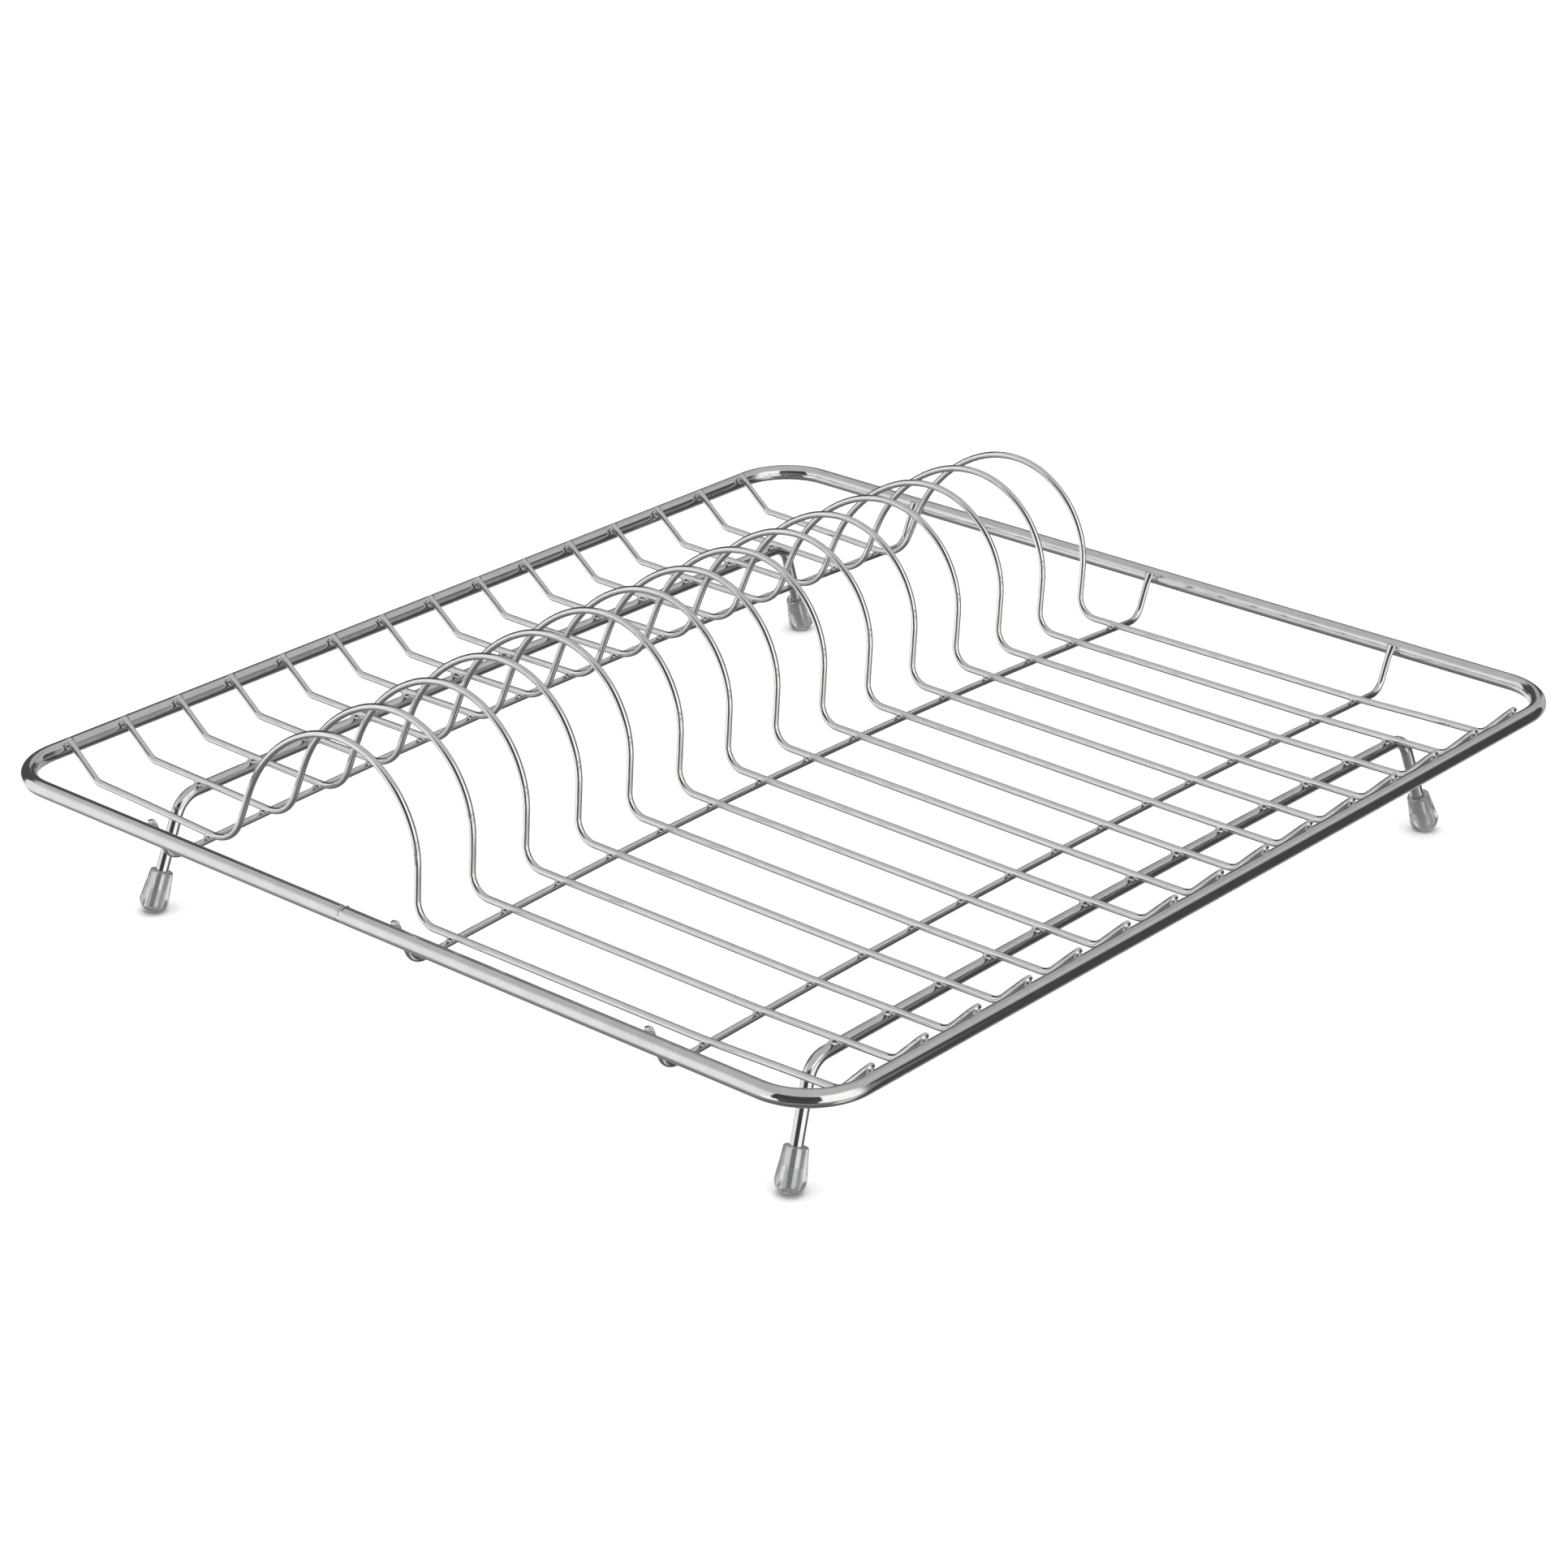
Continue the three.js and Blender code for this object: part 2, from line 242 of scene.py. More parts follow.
def plate_wire_line(name):
    low, high = box_mm(name)
    x = (low[0] + high[0]) / 2
    crest_z = high[2] - THIN_RADIUS
    rear_y, front_y = TRAY["rear_bend"][0], TRAY["front_bend"][0]
    rear_z, front_z = station_height("rear_bend", x), station_height("front_bend", x)
    rear_tip = tip_on_rim(rear_y, rear_z, RIM_HALF_Y)
    front_tip = tip_on_rim(-front_y, front_z, RIM_HALF_Y)
    flat = {station: corner(x, TRAY[station][0], station_height(station, x)) for station in TRAY}
    return bent_wire([
        corner(x, rear_tip[0], rear_tip[1]),
        corner(x, rear_y, rear_z, REAR_BEND_RADIUS),
        flat["rear_bar"],
        *hoop_corners(x, crest_z),
        flat["front_cross"],
        flat["front_bar"],
        corner(x, front_y, front_z, FRONT_BEND_RADIUS),
        corner(x, -front_tip[0], front_tip[1]),
    ])


def cross_wire_height(x, y):
    return tray_height(x, y) - 2 * THIN_RADIUS - WELD_GAP


def cross_wire_line(name):
    y = middle_mm(name)[1]
    bend_z = cross_wire_height(CROSS_BEND_X, y)
    tip_x, tip_z = tip_on_rim(CROSS_BEND_X, bend_z, RIM_HALF_X)
    arch = np.linspace(-1, 1, ARCH_POINTS) * ROW_HALF_LENGTH
    run = [corner(x, y, cross_wire_height(x, y)) for x in arch]
    return bent_wire([
        corner(-tip_x, y, tip_z),
        corner(-CROSS_BEND_X, y, bend_z, CROSS_BEND_RADIUS),
        *run,
        corner(CROSS_BEND_X, y, bend_z, CROSS_BEND_RADIUS),
        corner(tip_x, y, tip_z),
    ])


def leg_frame_station(name):
    return "rear_bar" if name == "leg_frame_rear" else "front_bar"


def leg_bar_height(name, x):
    return station_height(leg_frame_station(name), x) - THIN_RADIUS - LEG_RADIUS - WELD_GAP


def leg_direction(name, side):
    """Unit vector down a leg. Side is -1 at the left and +1 at the right."""
    lean = 1 if name == "leg_frame_rear" else -1
    return unit(np.array([side * math.tan(LEG_SPLAY), lean * math.tan(LEG_TILT), -1]))


def leg_end_height():
    """Height at which a leg wire ends: its cap's dome, flattened a little, touches the table."""
    upright = -leg_direction("leg_frame_front", 1)[2]
    lean = math.sqrt(1 - upright ** 2)
    reach = math.hypot(CAP_DOME_RADIUS * lean, CAP_DOME_HEIGHT * upright)
    return reach - CAP_FLAT_DEPTH - CAP_DOME_CENTRE * upright


def leg_top(name, side):
    x = side * LEG_CORNER_X[name]
    return np.array([x, TRAY[leg_frame_station(name)][0], leg_bar_height(name, x)])


def leg_end(name, side):
    top, down = leg_top(name, side), leg_direction(name, side)
    return top + down * (leg_end_height() - top[2]) / down[2]


def leg_frame_line(name):
    y = TRAY[leg_frame_station(name)][0]
    half = LEG_CORNER_X[name] - LEG_BEND_RADIUS
    bar = [corner(x, y, leg_bar_height(name, x)) for x in np.linspace(-half, half, ARCH_POINTS)]
    left, right = (leg_top(name, side) for side in (-1, 1))
    return bent_wire([
        (leg_end(name, -1), 0),
        (left, LEG_BEND_RADIUS),
        *bar,
        (right, LEG_BEND_RADIUS),
        (leg_end(name, 1), 0),
    ])


# ---------------------------------------------------------------- meshes

WIRE_UV = "wire"  # U: centimetres along the wire, V: share of a turn round it
RIM_SIDES = 64
THIN_SIDES = 32
LEG_SIDES = 48
CUT_ROUND = 0.45  # radius on the edge of a cut end
CUT_CROWN = 0.18  # how far a cut end bulges
CUT_STEPS = 4

SQUEEZE_LENGTH = 4.0  # the electrode flattens a thin wire's end over this length
SQUEEZE_THINNER = 0.12
SQUEEZE_WIDER = 0.5


def make_piece(name, vertices, faces, material):
    mesh = bpy.data.meshes.new(name)
    mesh.from_pydata([tuple(point) for point in np.array(vertices) * MM], [], faces)
    for polygon in mesh.polygons:
        polygon.use_smooth = True
    mesh.materials.append(material)
    mesh.update()
    piece = bpy.data.objects.new(name, mesh)
    bpy.context.scene.collection.objects.link(piece)
    return piece


def smooth(share):
    share = min(max(share, 0.0), 1.0)
    return share * share * (3 - 2 * share)


def directions_along(line, closed):
    if closed:
        ahead = np.roll(line, -1, axis=0) - line
        ahead /= np.linalg.norm(ahead, axis=1)[:, None]
        both = ahead + np.roll(ahead, 1, axis=0)
    else:
        ahead = np.diff(line, axis=0)
        ahead /= np.linalg.norm(ahead, axis=1)[:, None]
        both = np.vstack([ahead[:1], ahead[1:] + ahead[:-1], ahead[-1:]])
    return both / np.linalg.norm(both, axis=1)[:, None]


def distances_along(line):
    return np.concatenate([[0], np.cumsum(np.linalg.norm(np.diff(line, axis=0), axis=1))])


def wire_sections(line, radius, closed):
    """Sections (centre, direction, distance along, radius), with rounded and crowned cut ends."""
    along = directions_along(line, closed)
    distance = distances_along(line)
    sections = [(*section, radius) for section in zip(line, along, distance)]
    if closed:
        return sections
    rounding = [math.pi / 2 * k / CUT_STEPS for k in range(1, CUT_STEPS + 1)]
    ends = []
    for centre, direction, place, outwards in (
        (line[0], along[0], 0.0, -1),
        (line[-1], along[-1], distance[-1], 1),
    ):
        end = [(outwards * (CUT_ROUND * (math.sin(t) - 1)), radius - CUT_ROUND * (1 - math.cos(t)))
               for t in (0.0, *rounding)]
        end.append((outwards * CUT_CROWN * 0.75, radius / 2))  # the crown is a parabola
        ends.append([
            (centre + direction * shift, direction, place + shift, reach)
            for shift, reach in end
        ])
    return [*reversed(ends[0]), *sections[1:-1], *ends[1]]


def wire_piece(name, line, radius, sides, side_axis, material, closed=False, squeeze=0.0, swell=None):
    """A round wire along a centre line that lies in the plane square to side_axis, or nearly so. Its
    ends are pressed flat over the length squeeze. swell(distance from the start, angle) adds to its
    radius."""
    sections = wire_sections(line, radius, closed)
    length = distances_along(line)[-1]
    if closed:
        length += np.linalg.norm(line[0] - line[-1])
    vertices = []
    for centre, direction, place, reach in sections:
        across = unit(side_axis - direction * (side_axis @ direction))
        normal = np.cross(direction, across)
        from_end = min(place, length - place)
        press = 1 - smooth(from_end / squeeze) if squeeze else 0.0
        for k in range(sides):
            angle = 2 * math.pi * k / sides
            swollen = reach + (swell(from_end, angle) if swell else 0.0)
            wide = swollen * (1 + SQUEEZE_WIDER * press) * math.cos(angle)
            thick = swollen * (1 - SQUEEZE_THINNER * press) * math.sin(angle)
            vertices.append(centre + across * wide + normal * thick)
    count = len(sections)
    faces, places = [], []
    for i in range(count if closed else count - 1):
        following = (i + 1) % count
        here, there = sections[i][2], sections[following][2] if following else length
        first, second = i * sides, following * sides
        for k in range(sides):
            other = (k + 1) % sides
            faces.append([first + k, first + other, second + other, second + k])
            low, high = k / sides, (k + 1) / sides
            places += [(here, low), (here, high), (there, high), (there, low)]
    if not closed:
        for ring, outwards in ((0, -1), (count - 1, 1)):
            centre, direction, place, _ = sections[ring]
            vertices.append(centre + direction * outwards * CUT_CROWN / 4)
            for k in range(sides):
                pair = [ring * sides + k, ring * sides + (k + 1) % sides]
                faces.append([*pair[::outwards], len(vertices) - 1])
                places += [(place, k / sides)] * 3
    piece = make_piece(name, vertices, faces, material)
    layer = piece.data.uv_layers.new(name=WIRE_UV)
    layer.data.foreach_set("uv", [value for place, share in places for value in (place / CM, share)])
    return piece


# ---------------------------------------------------------------- welds

WELD_SIDES = 20
WELD_RINGS = 7
WELD_PINCH = 0.16  # share by which a weld is narrower halfway up
WELD_LUMPS = 0.2  # share by which it varies
WELD_LUMP_DENSITY = 0.9  # lumps for each millimetre
WELD_SUNK = 0.2  # how far a weld's ends are buried in its wires


def weld_mesh(upper, lower, reach):
    """The metal squeezed out between two crossing wires, as a spool that lies on both. upper and lower
    are (centre, direction, radius); reach is (half length along the upper wire, beyond its end,
    half width over it, half length along the lower wire, half width round it)."""
    (top, upper_axis, upper_radius), (bottom, lower_axis, lower_radius) = upper, lower
    upper_length, upper_beyond, upper_width, lower_length, lower_width = reach
    up = unit(top - bottom)
    along = unit(upper_axis - up * (up @ upper_axis))
    across = unit(lower_axis - up * (up @ lower_axis))
    height = np.linalg.norm(top - bottom)
    vertices = []
    for ring in range(WELD_RINGS):
        share = ring / (WELD_RINGS - 1)
        pinch = 1 - WELD_PINCH * math.sin(math.pi * share)
        for k in range(WELD_SIDES):
            angle = 2 * math.pi * k / WELD_SIDES
            out_along, out_across = math.cos(angle), math.sin(angle)
            s_high = out_along * (upper_length if out_along < 0 else upper_beyond)
            t_high = out_across * upper_width
            s_low, t_low = out_along * lower_width, out_across * lower_length
            z_high = height - math.sqrt(upper_radius ** 2 - t_high ** 2) + WELD_SUNK
            z_low = math.sqrt(lower_radius ** 2 - s_low ** 2) - WELD_SUNK
            s = (s_low + (s_high - s_low) * share) * pinch
            t = (t_low + (t_high - t_low) * share) * pinch
            rise = up * (z_low + (z_high - z_low) * share)
            spot = bottom + along * s + across * t + rise
            lumps = noise.noise(Vector(spot * WELD_LUMP_DENSITY))
            swell = 1 + WELD_LUMPS * lumps * math.sin(math.pi * share)
            vertices.append(bottom + along * s * swell + across * t * swell + rise)
    vertices.append(bottom + up * (lower_radius - WELD_SUNK))
    vertices.append(bottom + up * (height - upper_radius + WELD_SUNK))
    faces = []
    for ring in range(WELD_RINGS - 1):
        for k in range(WELD_SIDES):
            a, b = ring * WELD_SIDES + k, ring * WELD_SIDES + (k + 1) % WELD_SIDES
            faces.append([a, b, b + WELD_SIDES, a + WELD_SIDES])
    last = (WELD_RINGS - 1) * WELD_SIDES
    for k in range(WELD_SIDES):
        other = (k + 1) % WELD_SIDES
        faces.append([other, k, len(vertices) - 2])
        faces.append([last + k, last + other, len(vertices) - 1])
    if np.cross(along, across) @ up < 0:
        faces = [face[::-1] for face in faces]
    return vertices, faces


def join_welds(name, welds, material):
    vertices, faces = [], []
    for more_vertices, more_faces in welds:
        faces += [[index + len(vertices) for index in face] for face in more_faces]
        vertices += more_vertices
    piece = make_piece(name, vertices, faces, material)
    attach(piece, "root")


# The reach of each kind of weld, as weld_mesh takes it.
CROSS_WELD = (2.1, 2.1, 1.1, 2.2, 1.05)
LEG_WELD = (2.4, 2.4, 1.15, 2.6, 1.7)
TIP_WELD = (2.6, 1.6, 1.15, 2.2, 2.0)
TIP_WELD_BACK = 0.8  # from a wire's contact with the rim to the middle of its weld


def cross_welds(name):
    y = middle_mm(name)[1]
    welds = []
    for wire in PLATE_WIRES:
        x = middle_mm(wire)[0]
        upper = np.array([x, y, tray_height(x, y)]), AXIS_Y, THIN_RADIUS
        lower = np.array([x, y, cross_wire_height(x, y)]), AXIS_X, THIN_RADIUS
        welds.append(weld_mesh(upper, lower, CROSS_WELD))
    return welds


def leg_welds(name):
    y = TRAY[leg_frame_station(name)][0]
    welds = []
    for wire in PLATE_WIRES:
        x = middle_mm(wire)[0]
        if abs(x) < LEG_CORNER_X[name]:
            upper = np.array([x, y, tray_height(x, y)]), AXIS_Y, THIN_RADIUS
            lower = np.array([x, y, leg_bar_height(name, x)]), AXIS_X, LEG_RADIUS
            welds.append(weld_mesh(upper, lower, LEG_WELD))
    return welds


def tip_weld(end, before, rim_axis):
    """Weld of a wire's end to the rim. end is the last point of its centre line."""
    direction = unit(end - before)
    end = end - direction * TIP_PAST_CONTACT
    out = np.cross(rim_axis, AXIS_Z)
    out = out * np.sign(out @ end)
    rim_centre = end - out * (out @ end) + out * (RIM_HALF_Y if rim_axis is AXIS_X else RIM_HALF_X)
    rim_centre[2] = RIM_HEIGHT
    back = direction * TIP_WELD_BACK
    upper = end - back, direction, THIN_RADIUS
    return weld_mesh(upper, (rim_centre - back, rim_axis, RIM_RADIUS), TIP_WELD)


def plate_tip_welds(last):
    lines = [plate_wire_line(name) for name in PLATE_WIRES]
    return [tip_weld(line[-1], line[-2], AXIS_X) if last else tip_weld(line[0], line[1], AXIS_X)
            for line in lines]


def cross_tip_welds():
    lines = [cross_wire_line(name) for name in CROSS_WIRES]
    ends = [(line[-1], line[-2]) for line in lines] + [(line[0], line[1]) for line in lines]
    return [tip_weld(end, before, AXIS_Y) for end, before in ends]


RIM_WELD_GROUND = 0.2  # how far the wire is ground down on both sides of the butt weld
RIM_WELD_HALF_WIDTH = 0.3
RIM_WELD_GROUND_HALF_WIDTH = 1.6
RIM_BURR_ANGLE = math.radians(-48)  # on the inner side, near the top
RIM_BURR_HEIGHT = 0.45
RIM_BURR_HALF_WIDTH = 0.6
RIM_BURR_HALF_TURN = 0.33


def rim_weld_swell(from_weld, angle):
    """The butt weld: a thin ring left standing where the wire is ground down, and a burr inside."""
    ring = math.exp(-(from_weld / RIM_WELD_HALF_WIDTH) ** 2)
    ground = 1 - smooth(from_weld / RIM_WELD_GROUND_HALF_WIDTH)
    turn = (angle - RIM_BURR_ANGLE + math.pi) % (2 * math.pi) - math.pi
    burr = RIM_BURR_HEIGHT * math.exp(
        -(from_weld / RIM_BURR_HALF_WIDTH) ** 2 - (turn / RIM_BURR_HALF_TURN) ** 2)
    return RIM_WELD_GROUND * (ring - 1) * ground + burr


# ---------------------------------------------------------------- foot caps

CAP_SIDES = 80
CAP_GRIP_RADIUS = LEG_RADIUS - 0.02  # the cap grips the leg wire here
CAP_POCKET_RADIUS = 2.5  # and widens clear of it towards the wire's end
CAP_POCKET_TOP = 7.0
CAP_POCKET_WIDEST = 1.6
CAP_POCKET_DEPTH = 0.3
CAP_LIP_ROUND = 0.5
CAP_FLOOR_ROUND = 0.9  # between the pocket's wall and its floor
CAP_STEPS = 8  # rings on the taper and on the pocket's shoulder


def arc(centre_r, centre_h, radius_r, radius_h, start, end, steps):
    """Points (radius, height) of an arc; angles in degrees, 0 outwards and 90 up."""
    angles = [math.radians(start + (end - start) * k / steps) for k in range(steps + 1)]
    return [(centre_r + radius_r * math.cos(t), centre_h + radius_h * math.sin(t)) for t in angles]


def cap_profile():
    """Radius and height above the leg's end, from the bottom of the dome round to that of the bore."""
    dome = arc(0, CAP_DOME_CENTRE, CAP_DOME_RADIUS, CAP_DOME_HEIGHT, -90, 0, 18)
    lip = arc(CAP_TOP_RADIUS - CAP_LIP_ROUND, CAP_TOP_HEIGHT - CAP_LIP_ROUND,
              CAP_LIP_ROUND, CAP_LIP_ROUND, 5, 90, 6)
    mouth = arc(CAP_GRIP_RADIUS + CAP_LIP_ROUND, CAP_TOP_HEIGHT - CAP_LIP_ROUND,
                CAP_LIP_ROUND, CAP_LIP_ROUND, 90, 180, 6)
    widening = CAP_POCKET_RADIUS - CAP_GRIP_RADIUS
    fall = CAP_POCKET_TOP - CAP_POCKET_WIDEST
    shoulder = [
        (CAP_GRIP_RADIUS + widening * smooth(k / CAP_STEPS), CAP_POCKET_TOP - fall * k / CAP_STEPS)
        for k in range(CAP_STEPS + 1)
    ]
    floor = arc(CAP_POCKET_RADIUS - CAP_FLOOR_ROUND, CAP_FLOOR_ROUND - CAP_POCKET_DEPTH,
                CAP_FLOOR_ROUND, CAP_FLOOR_ROUND, 0, -90, 6)
    taper_start = np.array([CAP_DOME_RADIUS, CAP_DOME_CENTRE])
    taper_run = np.array(lip[0]) - taper_start
    taper = [tuple(taper_start + taper_run * k / CAP_STEPS) for k in range(1, CAP_STEPS)]
    return [*dome, *taper, *lip, *mouth, *shoulder, *floor, (0.0, -CAP_POCKET_DEPTH)]


def cap_piece(leg_frame, side, name, material):
    end = leg_end(leg_frame, side)
    up = -leg_direction(leg_frame, side)
    across = unit(np.cross(AXIS_Y, up))
    over = np.cross(up, across)
    profile = cap_profile()
    vertices, rings = [], []
    for radius, height in profile:
        if radius < 1e-6:
            rings.append([len(vertices)] * CAP_SIDES)
            vertices.append(end + up * height)
            continue
        rings.append(range(len(vertices), len(vertices) + CAP_SIDES))
        for k in range(CAP_SIDES):
            angle = 2 * math.pi * k / CAP_SIDES
            out = across * math.cos(angle) + over * math.sin(angle)
            vertices.append(end + out * radius + up * height)
    faces = []
    for low, high in zip(rings, rings[1:]):
        for k in range(CAP_SIDES):
            other = (k + 1) % CAP_SIDES
            face = dict.fromkeys([low[k], low[other], high[other], high[k]])
            faces.append(list(face))
    for point in vertices:
        point[2] = max(point[2], 0.0)
    return make_piece(name, vertices, faces, material)


# ---------------------------------------------------------------- materials

def add(tree, kind, inputs=None, **settings):
    """A node with its settings, and each input given as a value or as another node's output."""
    node = tree.nodes.new(kind)
    for key, value in settings.items():
        setattr(node, key, value)
    for socket, value in (inputs or {}).items():
        if isinstance(value, bpy.types.NodeSocket):
            tree.links.new(value, node.inputs[socket])
        else:
            node.inputs[socket].default_value = value
    return node


def calculate(tree, operation, *values):
    return add(tree, "ShaderNodeMath", dict(enumerate(values)), operation=operation).outputs[0]


def remap(tree, value, from_low, from_high, to_low, to_high, how="LINEAR"):
    node = add(tree, "ShaderNodeMapRange", {
        "Value": value,
        "From Min": from_low,
        "From Max": from_high,
        "To Min": to_low,
        "To Max": to_high,
    }, interpolation_type=how)
    return node.outputs["Result"]


def cloud(tree, place, scale, detail=2.0):
    """Smooth noise from 0 to 1 over a place in the material."""
    node = add(tree, "ShaderNodeTexNoise", {"Vector": place, "Scale": scale, "Detail": detail})
    return node.outputs["Fac"]


def empty_material(name):
    material = bpy.data.materials.new(name)
    material.use_nodes = True
    material.node_tree.nodes.clear()
    return material, material.node_tree


def wire_place(tree, radius, stretch=1.0):
    """Centimetres along and round a wire, without a seam, squeezed along the wire by stretch."""
    uv = add(tree, "ShaderNodeUVMap", uv_map=WIRE_UV).outputs["UV"]
    split = add(tree, "ShaderNodeSeparateXYZ", {"Vector": uv})
    along = calculate(tree, "MULTIPLY", split.outputs["X"], 1 / stretch)
    angle = calculate(tree, "MULTIPLY", split.outputs["Y"], 2 * math.pi)
    round_x = calculate(tree, "MULTIPLY", calculate(tree, "COSINE", angle), radius / CM)
    round_y = calculate(tree, "MULTIPLY", calculate(tree, "SINE", angle), radius / CM)
    return add(tree, "ShaderNodeCombineXYZ", {"X": along, "Y": round_x, "Z": round_y}).outputs["Vector"]


def mix_colours(tree, share, low, high):
    node = add(tree, "ShaderNodeMix", data_type="RGBA")
    for socket, value in (("Factor", share), ("A", low), ("B", high)):
        target = next(s for s in node.inputs if s.name == socket and s.enabled)
        if isinstance(value, bpy.types.NodeSocket):
            tree.links.new(value, target)
        else:
            target.default_value = value
    return next(s for s in node.outputs if s.enabled)


def finish_metal(tree, colour, roughness, bumps):
    """Metal surface whose relief is the sum of bumps, each (height, metres)."""
    normal = None
    for height, distance in bumps:
        inputs = {"Height": height, "Distance": distance}
        if normal:
            inputs["Normal"] = normal
        normal = add(tree, "ShaderNodeBump", inputs).outputs["Normal"]
    shader = add(tree, "ShaderNodeBsdfPrincipled", {
        "Base Color": colour,
        "Metallic": 1.0,
        "Roughness": roughness,
        "Normal": normal,
    })
    add(tree, "ShaderNodeOutputMaterial", {"Surface": shader.outputs["BSDF"]})


def chrome(name, radius, pale, dull, gloss):
    """Bright plating over drawn wire: faint draw lines, slow waves and thinly clouded patches."""
    material, tree = empty_material(name)
    place = wire_place(tree, radius)
    drawn = wire_place(tree, radius, stretch=30.0)
    lines = cloud(tree, drawn, 9.0)
    waves = cloud(tree, place, 0.6, 1.0)
    patches = cloud(tree, place, 1.6, 3.0)
    colour = mix_colours(tree, remap(tree, patches, 0.3, 0.7, 0, 1), dull, pale)
    haze = calculate(tree, "MULTIPLY", remap(tree, patches, 0.4, 0.75, 0, 1), 0.03)
    streaks = calculate(tree, "MULTIPLY", remap(tree, lines, 0.45, 0.75, 0, 1), 0.03)
    roughness = calculate(tree, "ADD", calculate(tree, "ADD", haze, streaks), gloss)
    finish_metal(tree, colour, roughness, [(waves, 2e-5), (lines, 5e-7)])
    return material


def weld_metal():
    """Plated weld: the lumps are in the mesh, with fine ripples and duller hollows here."""
    material, tree = empty_material("weld_chrome")
    place = add(tree, "ShaderNodeTexCoord").outputs["Object"]
    ripples = cloud(tree, place, 1500.0, 3.0)
    lumps = cloud(tree, place, 500.0)
    colour = mix_colours(tree, ripples, (0.5, 0.51, 0.5, 1), (0.68, 0.69, 0.68, 1))
    roughness = remap(tree, ripples, 0.3, 0.7, 0.12, 0.26)
    finish_metal(tree, colour, roughness, [(lumps, 1.5e-4), (ripples, 2e-5)])
    return material


def clear_plastic():
    """Clear soft vinyl: slightly cloudy, with flow marks and a dulled skin."""
    material, tree = empty_material("clear_plastic")
    place = add(tree, "ShaderNodeTexCoord").outputs["Object"]
    flow = cloud(tree, place, 260.0, 3.0)
    skin = cloud(tree, place, 300.0)
    colour = mix_colours(tree, flow, (0.72, 0.755, 0.755, 1), (0.84, 0.86, 0.86, 1))
    roughness = remap(tree, skin, 0.3, 0.7, 0.02, 0.05)
    relief = add(tree, "ShaderNodeBump", {"Height": flow, "Distance": 3e-6}).outputs["Normal"]
    shader = add(tree, "ShaderNodeBsdfPrincipled", {
        "Base Color": colour,
        "Roughness": roughness,
        "IOR": 1.49,
        "Transmission Weight": 0.85,
        "Normal": relief,
    })
    add(tree, "ShaderNodeOutputMaterial", {"Surface": shader.outputs["BSDF"]})
    return material


# ---------------------------------------------------------------- the rack

# The plating of each wire: its bright and its dull colour, and its roughness where it is cleanest.
RIM_PLATING = (0.67, 0.67, 0.662, 1), (0.61, 0.612, 0.605, 1), 0.03
THIN_PLATING = (0.71, 0.71, 0.7, 1), (0.66, 0.66, 0.652, 1), 0.05
LEG_PLATING = (0.68, 0.68, 0.68, 1), (0.62, 0.622, 0.622, 1), 0.03


def add_wires():
    rim_chrome = chrome("rim_chrome", RIM_RADIUS, *RIM_PLATING)
    wire_chrome = chrome("wire_chrome", THIN_RADIUS, *THIN_PLATING)
    leg_chrome = chrome("leg_chrome", LEG_RADIUS, *LEG_PLATING)
    rim = wire_piece("rim_wire", rim_line(), RIM_RADIUS, RIM_SIDES, AXIS_Z, rim_chrome,
                     closed=True, swell=rim_weld_swell)
    stand_for(rim, "rim")
    for name in PLATE_WIRES:
        wire = wire_piece(f"{name}_fine", plate_wire_line(name), THIN_RADIUS, THIN_SIDES, AXIS_X,
                          wire_chrome, squeeze=SQUEEZE_LENGTH)
        stand_for(wire, name)
    for name in CROSS_WIRES:
        wire = wire_piece(f"{name}_fine", cross_wire_line(name), THIN_RADIUS, THIN_SIDES, AXIS_Y,
                          wire_chrome, squeeze=SQUEEZE_LENGTH)
        stand_for(wire, name)
    for name in LEG_FRAMES:
        wire = wire_piece(f"{name}_fine", leg_frame_line(name), LEG_RADIUS, LEG_SIDES, AXIS_Y,
                          leg_chrome)
        stand_for(wire, name)


def stand_for(piece, node):
    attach(piece, "root")
    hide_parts(node)


def add_welds():
    metal = weld_metal()
    for name in CROSS_WIRES:
        join_welds(f"welds_{name}", cross_welds(name), metal)
    for name in LEG_FRAMES:
        join_welds(f"welds_{name}", leg_welds(name), metal)
    join_welds("welds_rim_front", plate_tip_welds(last=True), metal)
    join_welds("welds_rim_rear", plate_tip_welds(last=False), metal)
    join_welds("welds_rim_sides", cross_tip_welds(), metal)


def add_caps():
    plastic = clear_plastic()
    for frame_name in LEG_FRAMES:
        end_name = frame_name.removeprefix("leg_frame_")
        for side, side_name in ((-1, "left"), (1, "right")):
            node = f"foot_cap_{end_name}_{side_name}"
            cap = cap_piece(frame_name, side, f"{node}_clear", plastic)
            stand_for(cap, node)


# ---------------------------------------------------------------- floor, light and camera

FLOOR_HALF = 4000.0
FLOOR_BELOW = 0.1  # keeps the floor's face apart from the flats under the caps
FLOOR_CELLS = 12


